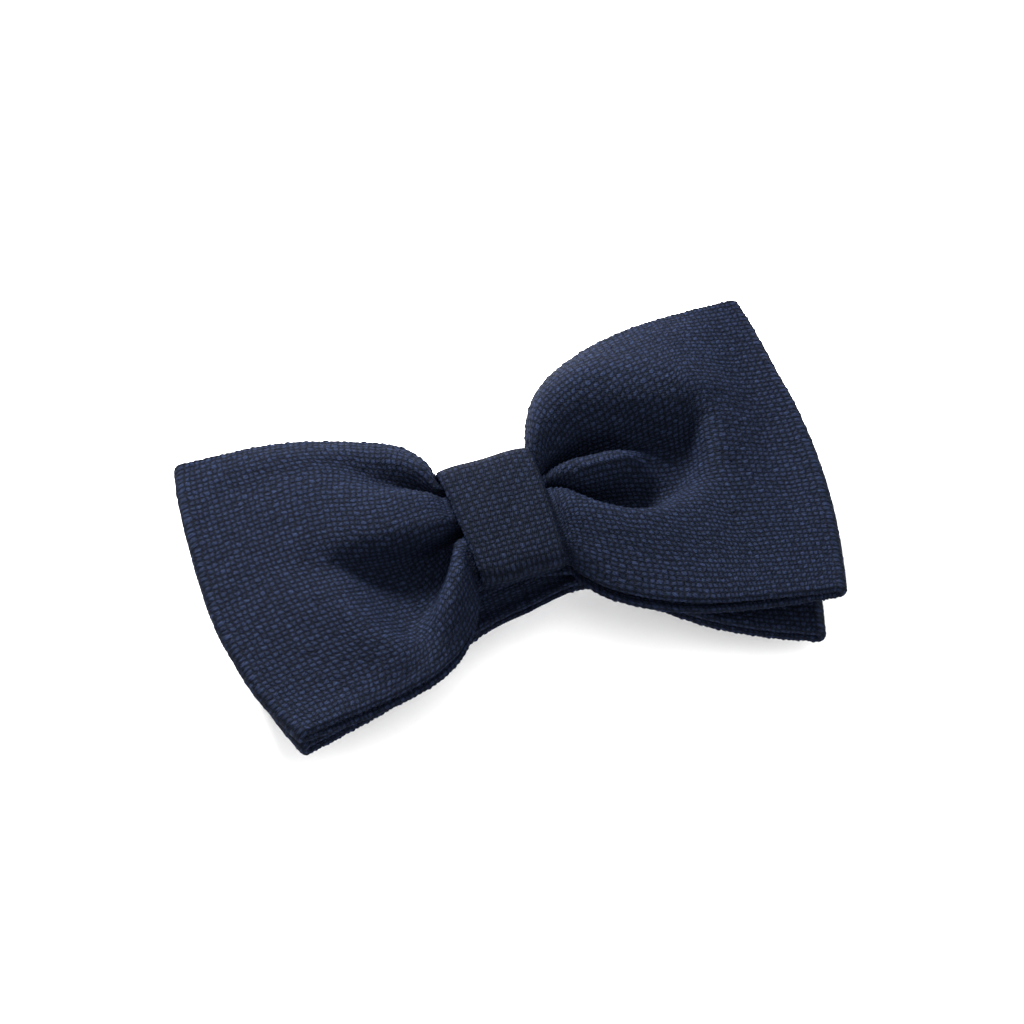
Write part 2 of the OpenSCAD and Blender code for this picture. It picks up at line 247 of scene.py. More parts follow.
def plain_weave_material(name, colour):
    """Stiff plain-weave canvas."""
    n = Nodes(name)
    cloth = n.make("ShaderNodeUVMap", 0, {}, uv_map="cloth")
    along, across, _ = n.axes(cloth)
    threads = 2.0 * math.pi / (UV_SCALE * 0.9)
    weft = n.math("SINE", n.math("MULTIPLY", along, threads))
    warp = n.math("SINE", n.math("MULTIPLY", across, threads))
    weave = n.math("MULTIPLY", weft, warp)
    grain = n.noise(cloth, 90.0, 3.0)
    shade = n.remap(n.math("ADD", weave, grain), -0.6, 1.6, 0.65, 1.1)
    return n.finish(Base_Color=n.scale_colour(colour, shade), Normal=n.bump(weave, 0.0001), Roughness=0.9)


def felt_material(name, colour):
    """Pressed wool felt: matted fibres with a little fuzz."""
    n = Nodes(name)
    place = n.make("ShaderNodeTexCoord", 3, {})
    matted = n.noise(place, 2600.0, 4.0, 0.7)
    cloudy = n.noise(place, 260.0, 2.0)
    fine = n.make("ShaderNodeTexVoronoi", 0, {"Vector": place, "Scale": 3200.0})
    dark, patchy = n.remap(matted, 0.3, 0.7, 0.6, 1.35), n.remap(cloudy, 0.3, 0.7, 0.85, 1.15)
    shaded = n.scale_colour(colour, n.math("MULTIPLY", dark, patchy))
    height = n.math("MULTIPLY_ADD", fine, 0.4, matted)
    return n.finish(Base_Color=shaded, Normal=n.bump(height, 0.0002), Roughness=0.95,
                    Sheen_Weight=0.4, Sheen_Roughness=0.5, Sheen_Tint=tint(130, 140, 170))


def thread_material(name, colour):
    """Twisted sewing thread."""
    n = Nodes(name)
    place = n.make("ShaderNodeTexCoord", 3, {})
    x, y, z = n.axes(place)
    slant = n.math("ADD", n.math("ADD", x, y), z)
    twist = n.math("SINE", n.math("MULTIPLY", slant, 9000.0))
    fuzz = n.noise(place, 5000.0, 3.0)
    shade = n.math("MULTIPLY", n.remap(twist, -1, 1, 0.6, 1.25), n.remap(fuzz, 0.3, 0.7, 0.8, 1.2))
    return n.finish(Base_Color=n.scale_colour(colour, shade), Normal=n.bump(twist, 0.00006),
                    Roughness=0.6, Specular_IOR_Level=0.15)


def steel_material(name, colour, rough, grain):
    """Plated or spring steel: rolling lines along the part, small scratches and handling marks."""
    n = Nodes(name)
    place = n.make("ShaderNodeTexCoord", 3, {})
    x, y, z = n.axes(place)
    stretched = n.vector(n.math("MULTIPLY", x, 60.0), n.math("MULTIPLY", y, 2400.0),
                         n.math("MULTIPLY", z, 2400.0))
    rolled = n.noise(stretched, 1.0, 3.0, 0.6)
    marks = n.noise(place, 140.0, 4.0, 0.65)
    pits = n.noise(place, 1500.0, 2.0)
    handled = n.remap(marks, 0.4, 0.7, 0.0, 1.0)
    roughness = n.math("MULTIPLY_ADD", handled, 0.16, n.remap(rolled, 0.2, 0.8, rough, rough + 0.1))
    dulled, streaks = n.remap(marks, 0.3, 0.75, 1.05, 0.85), n.remap(rolled, 0.2, 0.8, 0.92, 1.06)
    shaded = n.scale_colour(colour, n.math("MULTIPLY", dulled, streaks))
    height = n.math("MULTIPLY_ADD", pits, 0.5, n.math("MULTIPLY", rolled, grain))
    return n.finish(Base_Color=shaded, Metallic=1.0, Roughness=roughness,
                    Normal=n.bump(height, 0.00002, 0.5))


def floor_material():
    """Seamless white paper, with a grain too fine to see from above."""
    n = Nodes("studio_paper")
    place = n.make("ShaderNodeTexCoord", 3, {})
    grain = n.remap(n.noise(place, 900.0, 3.0), 0, 1, 0.99, 1.01)
    white = n.scale_colour((0.97, 0.97, 0.97, 1), grain)
    return n.finish(Base_Color=white, Roughness=0.9, Specular_IOR_Level=0.1)


def make_materials():
    return {
        # The second colour of each weave is painted shade for the hollows between the yarn pebbles.
        "navy_fabric": weave_material("navy_fabric", tint(19, 25, 41), tint(5, 7, 12)),
        # The knot's copy of the same navy cloth, tinted darker: painted shade for the turned weave catching
        # less light, not a different yarn colour.
        "navy_fabric_painted_shade": weave_material("navy_fabric_painted_shade", tint(16, 21, 35),
                                                tint(4, 6, 10)),
        "interlining": plain_weave_material("interlining", tint(205, 200, 186)),
        "felt": felt_material("felt", tint(28, 33, 50)),
        "navy_thread": thread_material("navy_thread", tint(17, 21, 36)),
        "plated_steel": steel_material("plated_steel", tint(214, 214, 216), 0.16, 0.6),
        "spring_steel": steel_material("spring_steel", tint(176, 178, 184), 0.24, 1.0),
    }


# Curves and surfaces

def spline(points, places, axis=0):
    """Catmull-Rom through points along one axis, at places counted in points."""
    points = np.moveaxis(np.asarray(points, float), axis, 0)
    last = len(points) - 1
    padded = np.concatenate([2 * points[:1] - points[1:2], points, 2 * points[-1:] - points[-2:-1]])
    places = np.clip(np.asarray(places, float), 0, last)
    i = np.minimum(places.astype(int), last - 1)
    t = (places - i).reshape((-1,) + (1,) * (points.ndim - 1))
    a, b, c, d = padded[i], padded[i + 1], padded[i + 2], padded[i + 3]
    out = 0.5 * (2 * b + (c - a) * t + (2 * a - 5 * b + 4 * c - d) * t ** 2
                 + (3 * b - a - 3 * c + d) * t ** 3)
    return np.moveaxis(out, 0, axis)


def even(points, count):
    """The curve through points, as count points at equal distances along it."""
    dense = spline(points, np.linspace(0, len(points) - 1, 16 * len(points)))
    run = np.concatenate([[0], np.cumsum(np.linalg.norm(np.diff(dense, axis=0), axis=1))])
    wanted = np.linspace(0, run[-1], count)
    return np.stack([np.interp(wanted, run, dense[:, k]) for k in range(3)], 1)


def lengths_across(p):
    """Length of each of a grid's rows."""
    return np.linalg.norm(np.diff(p, axis=1), axis=2).sum(1)


def smooth(a, b, x):
    """A smooth step, from 0 where x is a to 1 where it is b."""
    t = np.clip((np.asarray(x, float) - a) / (b - a), 0, 1)
    return t * t * (3 - 2 * t)


def unit(v):
    return v / np.maximum(np.linalg.norm(v, axis=-1, keepdims=True), 1e-9)


def surface_normals(p):
    return unit(np.cross(np.gradient(p, axis=0), np.gradient(p, axis=1)))


def loft(lines, rows, columns):
    """A grid over a panel. The lines go from its upper edge to its lower edge, and each runs outwards."""
    lines = np.asarray(lines, float)[::-1]
    steps = np.linalg.norm(np.diff(lines, axis=1), axis=2).mean(0)
    run = np.concatenate([[0], np.cumsum(steps)])
    places = np.interp(np.linspace(0, run[-1], rows), run, np.arange(len(run)))
    across = spline(lines, places, axis=1)
    return np.array([even(across[:, k], columns) for k in range(rows)]), run[-1]


# Cloth settling

def pull(move, p, a, b, rest, strength):
    """Bring the points p[a] and p[b] towards their rest distances."""
    d = p[b] - p[a]
    length = np.maximum(np.linalg.norm(d, axis=2), 1e-6)
    step = d * (0.5 * strength * (length - rest) / length)[..., None]
    move[a] += step
    move[b] -= step


def straighten(move, p, axis, stride, strength, keep):
    """Resist bending: bring each point and its two neighbours into line."""
    q, m = np.moveaxis(p, axis, 0), np.moveaxis(move, axis, 0)
    weight = (keep if axis == 0 else np.ones(len(q)))[stride:-stride].reshape(-1, 1, 1)
    off = (q[stride:-stride] - 0.5 * (q[:-2 * stride] + q[2 * stride:])) * strength * weight
    m[stride:-stride] -= 0.5 * off
    m[:-2 * stride] += 0.25 * off
    m[2 * stride:] += 0.25 * off


def near_pairs(flat, index, reach):
    """Pairs of points nearer than reach that aren't neighbours in the cloth."""
    square = (flat ** 2).sum(1)
    gap = square[:, None] + square[None, :] - 2 * flat @ flat.T
    i, j = np.nonzero(np.triu(gap < reach ** 2, 1))
    apart = np.abs(index[i] - index[j]).max(1) > 3
    return i[apart], j[apart]


def push_apart(move, p, i, j, distance):
    """Push the pairs i, j that are nearer than distance away from each other."""
    flat = p.reshape(-1, 3)
    d = flat[j] - flat[i]
    length = np.maximum(np.linalg.norm(d, axis=1), 1e-6)
    push = d * (0.4 * np.minimum(length - distance, 0) / length)[:, None]
    for k in range(3):
        total = np.bincount(i, push[:, k], len(flat)) - np.bincount(j, push[:, k], len(flat))
        move[..., k] += total.reshape(p.shape[:2])


def settle(p, rest_u, rest_v, hold, fold, steps):
    """Settle a cloth grid by small moves: it keeps its flat lengths, resists shear and bending, and
    doesn't pass through itself. hold says how firmly each point keeps its place, and fold is the row
    of the crease, where it may bend sharply."""
    rows, columns = p.shape[:2]
    home = p.copy()
    index = np.stack(np.meshgrid(np.arange(rows), np.arange(columns), indexing="ij"), -1).reshape(-1, 2)
    head, tail, whole = slice(None, -1), slice(1, None), slice(None)
    diagonal = np.sqrt(rest_u[:, None] ** 2 + (0.5 * (rest_v[:-1] + rest_v[1:])) ** 2)
    keep = np.ones(rows)
    keep[fold - 1:fold + 2] = 0
    i = j = None
    for step in range(steps):
        if step % 10 == 0:
            i, j = near_pairs(p.reshape(-1, 3), index, 1.6 * PANEL_T)
        move = np.zeros_like(p)
        pull(move, p, (head, whole), (tail, whole), rest_u[:, None], 0.3)
        pull(move, p, (whole, head), (whole, tail), rest_v, 0.3)
        pull(move, p, (head, head), (tail, tail), diagonal, 0.08)
        pull(move, p, (head, tail), (tail, head), diagonal, 0.08)
        for stride, strength in ((1, 0.1), (2, 0.03)):
            straighten(move, p, 1, stride, strength, keep)
            straighten(move, p, 0, stride, strength, keep)
        push_apart(move, p, i, j, PANEL_T)
        p = p + move * (hold < 1)[..., None]
        p = p + (home - p) * hold[..., None]
    return p


# The loops' wings

# Fold lines of the front panels, from the upper edge of the strip to its lower edge. Each runs outwards
# from the knot's edge: creases, ridges and valleys of the gathered cloth, at its middle surface.
FRONT_RIGHT = [
    [(9, 11.6, 18), (10, 16.4, 18.6), (12.3, 22, 19.1), (16.5, 27.2, 19.4), (24, 31.5, 19.4),
     (32, 34, 19.3), (38, 34.9, 19.1), (42, 35.3, 18.8), (47, 35.6, 18.5), (52, 35.8, 18.2),
     (57.1, 35.8, 18)],
    [(9, 11.2, 20.8), (10, 15.2, 22.4), (12.5, 20.2, 24.2), (16.8, 24.4, 24.6), (24, 27.6, 23.8),
     (32, 28.6, 22.9), (38, 28.6, 22.6), (42, 28.6, 22.2), (47, 29, 20.9), (52.5, 29.4, 19.2),
     (58.2, 29.8, 17.8)],
    [(9, 9.8, 22.6), (10.2, 13.4, 24.8), (13, 17.2, 26.6), (17.5, 20.2, 27), (24, 22.4, 26.4),
     (32.2, 21.4, 25.8), (39, 19, 25.4), (42.8, 17.6, 24.6), (47.5, 17.4, 22.2), (53, 17.2, 18.9),
     (59.2, 17.2, 18)],
    [(9, 8.5, 22.2), (11, 11, 23.2), (14.8, 12.8, 23.8), (19.4, 15, 24.2), (26.6, 15.4, 23.8),
     (33, 14.4, 24), (39.6, 12.4, 23), (43.4, 12.2, 23.5), (48, 12.4, 21.5), (53.6, 12.3, 18.4),
     (60, 12.4, 17.7)],
    [(9, 7.7, 19), (11.2, 8.8, 18.2), (14.6, 10.8, 17.6), (19.4, 12.2, 17.2), (26.5, 12.4, 17),
     (33, 11, 16.8), (38.8, 9.2, 17.8), (43.4, 9, 22.9), (48, 9, 21.2), (53.8, 8.5, 18.1),
     (60.3, 8.3, 17.5)],
    [(9, 7.3, 18.6), (11.4, 8.2, 17.6), (14.8, 9.4, 16.8), (19.8, 10, 16.5), (26.3, 9.8, 16.5),
     (33.4, 8.6, 16.4), (38.6, 6.8, 17), (43, 6.8, 22.8), (47.8, 6.8, 21.1), (53.7, 6.5, 18),
     (60.4, 6.3, 17.4)],
    [(9, 6.9, 21), (11.5, 7.2, 21.8), (15, 7.3, 23), (20, 6.9, 23.4), (25.2, 6.4, 23), (30.6, 6, 17.6),
     (38, 5.2, 16.8), (42.8, 5.2, 22.7), (47.6, 4.8, 21), (53.6, 4.6, 18), (60.4, 4.4, 17.4)],
    [(9, 6, 21), (11.6, 5.9, 21.8), (15, 5, 22.6), (20, 4.3, 22.6), (25.2, 4, 22.2), (30.6, 4, 17.4),
     (38, 3.6, 16.8), (42.6, 3.6, 22.6), (47.6, 3.2, 20.9), (53.6, 3, 18), (60.4, 2.8, 17.4)],
    [(9, 5.4, 18.4), (11.8, 4.9, 17.2), (15, 3.2, 16.6), (20, 1.6, 16.2), (26, 0.9, 16.2), (32, 1, 16.4),
     (37.6, 1.6, 17), (42.2, 1.6, 22.4), (47.4, 1.2, 20.8), (53.4, 1, 17.9), (60.4, 1, 17.3)],
    [(9, 4.8, 18.2), (12, 4, 17), (15.4, 1.8, 16.5), (20.5, -1.6, 16.4), (26, -3.6, 16.4), (31.6, -3, 16.5),
     (36.6, -1.4, 18), (41, -1.2, 21.8), (47, -1.6, 20.7), (53.1, -1.7, 18), (60.2, -1.8, 17.3)],
    [(9, 4, 21), (12, 3, 21.8), (16, -1.3, 22.3), (21, -4.9, 22.3), (26.2, -6.8, 22.1), (31.8, -6.6, 21.4),
     (37, -5.4, 21.2), (41, -5.2, 21.7), (46.6, -5.6, 20.5), (52.7, -5.7, 18.2), (59.9, -5.8, 17.4)],
    [(9, 0.5, 22.6), (11.8, -1, 23.2), (16, -5, 23), (21.5, -9, 22.6), (27.5, -11.5, 22), (33, -12, 21.5),
     (37.5, -12.5, 21.2), (41, -13, 21), (47, -14, 20.1), (52.5, -14.4, 18.6), (58.8, -14.5, 17.7)],
    [(9, -4, 22.2), (11.6, -6, 22.2), (16.2, -10.5, 21.8), (22.3, -14.8, 21.4), (29, -17.8, 21),
     (34.5, -19.2, 20.7), (38.5, -20.2, 20.5), (42, -20.9, 20.3), (47.2, -21.8, 19.7), (52, -22.3, 18.9),
     (57.2, -22.5, 17.8)],
    [(9, -8.4, 20.8), (11, -10.6, 20.8), (15.5, -15.6, 20.6), (22.2, -20.4, 20.5), (29.3, -23.4, 20.4),
     (34.8, -25, 20.3), (38.8, -26, 20.2), (42.3, -26.6, 20.1), (47, -27.6, 19.6), (51.3, -28.1, 19.1),
     (56, -28.3, 18.3)],
    [(9, -10.8, 18.3), (10.4, -13, 18.3), (14.4, -18.6, 19), (21.2, -23.6, 19.5), (28.6, -27.2, 19.8),
     (34.6, -28.9, 19.8), (38.6, -29.8, 19.8), (42.1, -30.5, 19.8), (46.7, -31.3, 19.5), (50.8, -32, 19.2),
     (54.8, -32.5, 18.8)],
]
FRONT_LEFT = [
    [(-9, 12.6, 18), (-9.6, 17.6, 18.8), (-13, 22.6, 19.2), (-18.6, 25.6, 19.3), (-25, 28.2, 19),
     (-32, 30.8, 18.5), (-39, 32.5, 17.8), (-46, 33.6, 17), (-53.2, 34.6, 16.2)],
    [(-9, 11.2, 21), (-11.5, 15.2, 22), (-15.5, 18.6, 22.2), (-20, 21.2, 22), (-26, 24.3, 21.6),
     (-33, 27, 20.8), (-40, 28.6, 19.6), (-47, 29.2, 18.2), (-54.6, 29.2, 16.7)],
    [(-9, 8.6, 18.8), (-12, 10.8, 19), (-15.6, 13.2, 19.6), (-20, 15.6, 20.4), (-25, 19.4, 21.4),
     (-31.5, 22.4, 21.4), (-39.5, 24.2, 19.8), (-47.5, 23.8, 18.2), (-55.5, 22.5, 17)],
    [(-9, 7.6, 21.6), (-12.2, 9, 22.8), (-16.2, 10.6, 23.3), (-21, 12, 23.4), (-27, 14.4, 23),
     (-33, 17, 22), (-40.5, 18.4, 20.2), (-48, 17.5, 18.4), (-55.9, 16, 16.8)],
    [(-9, 4.2, 22.4), (-12.4, 4.6, 23.6), (-16.6, 4.8, 24.2), (-22, 5.2, 24.2), (-28, 6.4, 23.4),
     (-34.5, 7.8, 21.8), (-41.5, 8.4, 20), (-48.5, 7.5, 18.4), (-56.4, 6.5, 16.6)],
    [(-9, 2.4, 22), (-12.2, 1.8, 22.8), (-16.4, 1.4, 23.2), (-22, 1.8, 23), (-28, 2.6, 22.2),
     (-34.5, 3.6, 21), (-41, 3.6, 19.9), (-48.5, 2.5, 18.3), (-56.4, 1, 16.5)],
    [(-9, 1.6, 18), (-12, 1, 17), (-16.2, 0.6, 16.5), (-21.6, 0.6, 16.6), (-27.5, 0.6, 17.8),
     (-34, 0.2, 20.2), (-40.2, -0.8, 20.2), (-48.3, -2, 18.5), (-56, -4, 16.4)],
    [(-9, 0.8, 17.8), (-11.8, -1, 16.8), (-15.8, -3.2, 16.4), (-21, -5.2, 16.4), (-27, -6.6, 17.6),
     (-33.4, -7.4, 21), (-39, -7.8, 20.4), (-47.5, -8.5, 18.5), (-55, -10, 16.6)],
    [(-9, -0.2, 18.6), (-11.4, -3, 17.4), (-14.8, -7, 16.8), (-19.6, -10.4, 16.6), (-25.2, -13, 17.6),
     (-31, -14.8, 21.2), (-37.2, -16, 20), (-46, -17, 18.3), (-53.8, -17, 16.8)],
    [(-9, -1.2, 20.8), (-11.3, -4.2, 19.6), (-14.6, -8.8, 18), (-18.8, -13, 17.4), (-23.8, -16.2, 18),
     (-29, -18.2, 21), (-35.8, -19.4, 19.8), (-45, -20.2, 18.4), (-52.8, -20.4, 17.1)],
    [(-9, -3.2, 22.2), (-11.2, -6.2, 23), (-13.9, -10.6, 23), (-17.4, -15.2, 22), (-21.8, -19.2, 19.4),
     (-27.6, -21.6, 20.6), (-35.2, -22.8, 19.4), (-44, -23.6, 18.4), (-51.6, -23.8, 17.4)],
    [(-9, -7.6, 21), (-10.6, -11, 21.2), (-13.4, -15.8, 20.9), (-17.4, -20.2, 20.4), (-22.4, -23.2, 19.8),
     (-28.6, -25.2, 19.7), (-35.6, -26.6, 19.3), (-43, -27.6, 18.8), (-50, -27.9, 18.1)],
    [(-9, -11.2, 18.6), (-10.2, -14.2, 18.6), (-13.2, -19.2, 19), (-17.7, -23.8, 19.3),
     (-23.3, -26.6, 19.3), (-29.8, -28.2, 19.2), (-36.3, -29.2, 19), (-42.7, -29.9, 18.8),
     (-48.9, -30.6, 18.6)],
]
WAIST_SQUEEZE = (0.84, 0.9)   # how far the folds draw in towards the middle of the knot, in y and z
WAIST_Z = 19.4                # height of the middle of the front loop's waist
EDGE_DROP = 3.2               # the front loop's rear panel under its front panel, along the edges
END_DROP = 2.1                # and at the fold at the wing's end
FRONT_REAR = [(0, 16.4), (9, 16.2), (12, 15.3), (18, 14.9), (30, 14.9), (45, 14.9), (60, 14.8)]

# The back loop's panels, at stations outwards from the middle: x at the edges and in the middle, y of
# the upper and lower edges, and the heights of the rear panel's upper edge, middle and lower edge.
BACK_RIGHT = [
    (0, 0, 16.2, -14.2, 11.5, 11.5, 11.4),
    (9, 9, 16.3, -12.4, 11.4, 11.4, 11.3),
    (14, 14, 17.8, -12.9, 11.2, 11.2, 11.1),
    (20, 20, 20.8, -17.8, 11.0, 11.0, 10.9),
    (30, 30.5, 27.5, -26.2, 10.2, 10.2, 10.0),
    (40, 41.5, 32.0, -31.4, 8.8, 8.8, 8.5),
    (50.3, 55.2, 34.4, -34.7, 7.0, 6.8, 6.2),
]
BACK_LEFT = [
    (0, 0, 16.2, -14.2, 11.5, 11.5, 11.4),
    (-9, -9, 16.5, -15.9, 11.4, 11.4, 11.4),
    (-14, -14, 18.8, -17.8, 11.3, 11.3, 11.3),
    (-20, -20, 22.2, -20.9, 11.2, 11.2, 11.2),
    (-30, -30.5, 29.0, -25.5, 11.0, 11.0, 11.1),
    (-40, -41.5, 32.4, -28.2, 10.0, 10.4, 10.8),
    (-48.2, -54.0, 33.8, -30.2, 8.6, 9.8, 10.8),
]
BACK_GAP = (2.1, 2.5)         # between the middles of the back loop's two panels, at the waist and outside
FRONT_WAIST = (38.0, 12)      # width of the gathered cloth in the knot, and where it has opened out again
BACK_WAIST = (34.0, 16)
SETTLE_STEPS = 200


def through_knot(lines):
    """The fold lines, carried on inwards to the middle of the knot."""
    lines = np.array(lines, float)
    start = lines[:, :1].copy()
    start[..., 0] = 0
    start[..., 1] *= WAIST_SQUEEZE[0]
    start[..., 2] = WAIST_Z + (start[..., 2] - WAIST_Z) * WAIST_SQUEEZE[1]
    return np.concatenate([start, lines], 1)


def front_rear_lines(front):
    """The front loop's rear panel: it shares the front's two edges, and lies flat between them."""
    upper, lower = front[0], front[-1]
    middle_x = front[len(front) // 2, :, 0]
    middle_z = np.interp(np.abs(middle_x), *np.transpose(FRONT_REAR))
    drop = END_DROP + (EDGE_DROP - END_DROP) * smooth(56, 42, np.abs(upper[:, 0]))
    lines = []
    for t in (1.0, 0.6, 0.2, -0.2, -0.6, -1.0):
        edge = upper if t > 0 else lower
        x = edge[:, 0] * t * t + middle_x * (1 - t * t)
        y = (upper[:, 1] * (1 + t) + lower[:, 1] * (1 - t)) / 2
        z = middle_z + (edge[:, 2] - drop - middle_z) * abs(t) ** 3
        lines.append(np.stack([x, y, z], 1))
    return lines


def back_lines(stations, front):
    """The back loop's front or rear panel; the front one has the small pleats of its waist."""
    x_edge, x_mid, upper, lower, z_up, z_mid, z_low = np.transpose(stations)
    lift = front * (BACK_GAP[0] + (BACK_GAP[1] - BACK_GAP[0]) * smooth(20, 36, np.abs(x_edge)))
    pleated = front * smooth(30, 12, np.abs(x_edge))
    lines = []
    for t, pleat in zip(np.linspace(1, -1, 13), (0, 1, -1, 0, 0, 0, 0, 0, 0, -1, 1, -1, 0)):
        x = x_mid + (x_edge - x_mid) * t * t
        y = upper * (1 + t) / 2 + lower * (1 - t) / 2
        z = z_mid + (np.where(t > 0, z_up, z_low) - z_mid) * t * t + lift + 0.55 * pleat * pleated
        lines.append(np.stack([x, y, z], 1))
    return lines


def wing_grid(near_lines, far_lines, waist_width, gather, steps):
    """A wing's strip as a grid, from the middle of the knot out along the front panel, over the fold
    and back along the rear panel, with the distance u and the strip's width at each row."""
    columns = int(STRIP_W / GRID) + 1
    rows = int(round(loft(near_lines, 2, 3)[1] / GRID)) + 1
    near, run = loft(near_lines, rows, columns)
    far = loft(far_lines, rows, columns)[0][::-1]
    outwards = unit((near[-1] - near[-4]) * [1, 1, 0])
    fold = 0.5 * (near[-1] + far[0]) + FOLD_REACH * outwards
    p = np.concatenate([near, fold[None], far])
    reach = np.concatenate([np.linspace(0, run, rows), [run], np.linspace(run, 0, rows)])
    target = waist_width + (STRIP_W - waist_width) * smooth(KNOT_X - 2, KNOT_X + gather, reach)
    width = np.clip(lengths_across(p), 0.9 * target, 1.12 * target)
    rest_u = np.full(len(p) - 1, run / (rows - 1))
    rest_u[rows - 1:rows + 1] = 1.35
    hold = np.full(p.shape[:2], 0.12)
    hold[reach < KNOT_X + 10] = 0.3
    hold[:, [0, -1]] = 0.4
    hold[rows - 1:rows + 2] = 0.4
    hold[reach < KNOT_X + 1] = 1.0
    rest_v = (width / (columns - 1))[:, None] * np.ones(columns - 1)
    p = settle(p, rest_u, rest_v, hold, rows, steps)
    cloth_u = np.full(len(rest_u), GRID)
    cloth_u[rows - 1:rows + 1] = GRID / 2
    return p, np.concatenate([[0], np.cumsum(cloth_u)]), width


# Weave relief and meshes

INNER_COLUMNS = 36            # mesh points across a strip's plain inner face
RIM_TURNS = np.radians(np.arange(18, 180, 24))  # where the mesh points go round a strip's edge


def unevenness(u, v):
    """A slow, repeatable unevenness of the yarn, from about -1 to 1."""
    slow = np.sin(0.83 * u + 2.1 * np.sin(0.61 * v)) * np.sin(1.37 * v + 1.3 * np.sin(0.29 * u))
    quick = np.sin(2.9 * u + 4.7 * v + 3 * np.sin(0.9 * v))
    return (slow + 0.6 * quick) / 1.6


def weave_height(u, v):
    """Height of the weave: a bulge of yarn in each crossing, higher for every third one."""
    a, b = u / CELL_U + PHASE, v / CELL_V + PHASE
    is_float = np.mod(np.floor(a) + np.floor(b), 3) < 0.5
    bulge = np.abs(np.sin(math.pi * a) * np.sin(math.pi * b)) ** 0.7
    return WEAVE_DEPTH * (bulge * np.where(is_float, 1.25, 0.85) + 0.25 * unevenness(u, v) - 0.6)


def ring_mesh(name, ring, cloth, flip, material):
    """A closed mesh from a grid whose columns run round the strip, with a cap on each end."""
    rows, columns = ring.shape[:2]
    n = np.arange(rows * columns).reshape(rows, columns)
    n = np.concatenate([n, n[:, :1]], 1)
    quads = np.stack([n[:-1, :-1], n[1:, :-1], n[1:, 1:], n[:-1, 1:]], -1).reshape(-1, 4)
    caps = [n[0, :-1], n[-1, :-1][::-1]]
    if flip:
        quads, caps = quads[:, ::-1], [cap[::-1] for cap in caps]
    loops = np.concatenate([quads.ravel(), *caps]).astype(np.int32)
    starts = [np.arange(0, quads.size, 4), [quads.size, quads.size + columns]]
    starts = np.concatenate(starts).astype(np.int32)
    mesh = bpy.data.meshes.new(name)
    mesh.vertices.add(rows * columns)
    mesh.vertices.foreach_set("co", (ring * MM).ravel())
    mesh.loops.add(len(loops))
    mesh.loops.foreach_set("vertex_index", loops)
    mesh.polygons.add(len(starts))
    mesh.polygons.foreach_set("loop_start", starts)
    mesh.polygons.foreach_set("use_smooth", np.ones(len(starts), bool))
    layer = mesh.uv_layers.new(name="cloth")
    layer.data.foreach_set("uv", (cloth.reshape(-1, 2)[loops] * UV_SCALE).ravel())
    mesh.update()
    mesh.validate()
    mesh.materials.append(material)
    obj = bpy.data.objects.new(name, mesh)
    bpy.context.scene.collection.objects.link(obj)
    return obj


def fine_rows(u, spacing, coarse):
    """Places along the rows for the finished mesh; spans between coarse rows aren't divided."""
    places = [0.0]
    for k, length in enumerate(np.diff(u)):
        count = 1 if coarse[k] and coarse[k + 1] else max(1, int(round(length / spacing)))
        places += list(k + (np.arange(count) + 1) / count)
    return np.array(places)


def thick_strip(name, p, u, width, half_t, side, material, relief=1.0, fine=FINE, coarse=None, trim=0.0):
    """A strip of some thickness with rounded edges, over its middle surface p. Its outer face, on the
    side that side says, carries the weave's relief. trim cuts its edges back."""
    coarse = np.zeros(len(u), bool) if coarse is None else coarse
    places = fine_rows(u, fine[0], coarse)
    rows_at = np.arange(len(u))
    u_fine = np.interp(places, rows_at, u)
    half_t = np.interp(places, rows_at, half_t)[:, None, None]
    rim = float(half_t.max())
    face_w = width.max() - 2 * (rim + trim)
    columns = int(face_w / fine[1]) | 1
    share = np.linspace(-1, 1, columns) * face_w / width.max()
    surface = spline(spline(p, places), (share + 1) / 2 * (p.shape[1] - 1), axis=1)
    n = surface_normals(surface) * side
    v = np.repeat((np.arange(columns) - columns // 2)[None] * fine[1], len(u_fine), 0)
    u_grid = np.repeat(u_fine[:, None], columns, 1)
    outer = surface + n * (half_t + relief * weave_height(u_grid, v)[..., None])
    inside = np.linspace(columns - 1, 0, INNER_COLUMNS).astype(int)
    inner = (surface - n * half_t)[:, inside]

    def rim_points(edge, beside, turns, sign):
        away = unit(surface[:, edge] - surface[:, beside])[:, None]
        v_rim = sign * (abs(v[:, edge]).reshape(-1, 1) + rim * turns)
        u_rim = np.repeat(u_fine[:, None], len(turns), 1)
        out = np.cos(turns)[:, None] * n[:, edge][:, None] + np.sin(turns)[:, None] * away
        lift = half_t + relief * weave_height(u_rim, v_rim)[..., None]
        return surface[:, edge][:, None] + out * lift, np.stack([u_rim, v_rim], -1)

    upper, upper_uv = rim_points(-1, -2, RIM_TURNS, 1)
    lower, lower_uv = rim_points(0, 1, RIM_TURNS[::-1], -1)
    flat_uv = np.stack([u_grid, v], -1)
    ring = np.concatenate([outer, upper, inner, lower], 1)
    cloth = np.concatenate([flat_uv, upper_uv, flat_uv[:, inside], lower_uv], 1)
    return ring_mesh(name, ring, cloth, side < 0, material)


def attach(piece, node):
    """The piece stands for a CAD node of the body bow."""
    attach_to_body(piece, "bow")
    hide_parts(node)


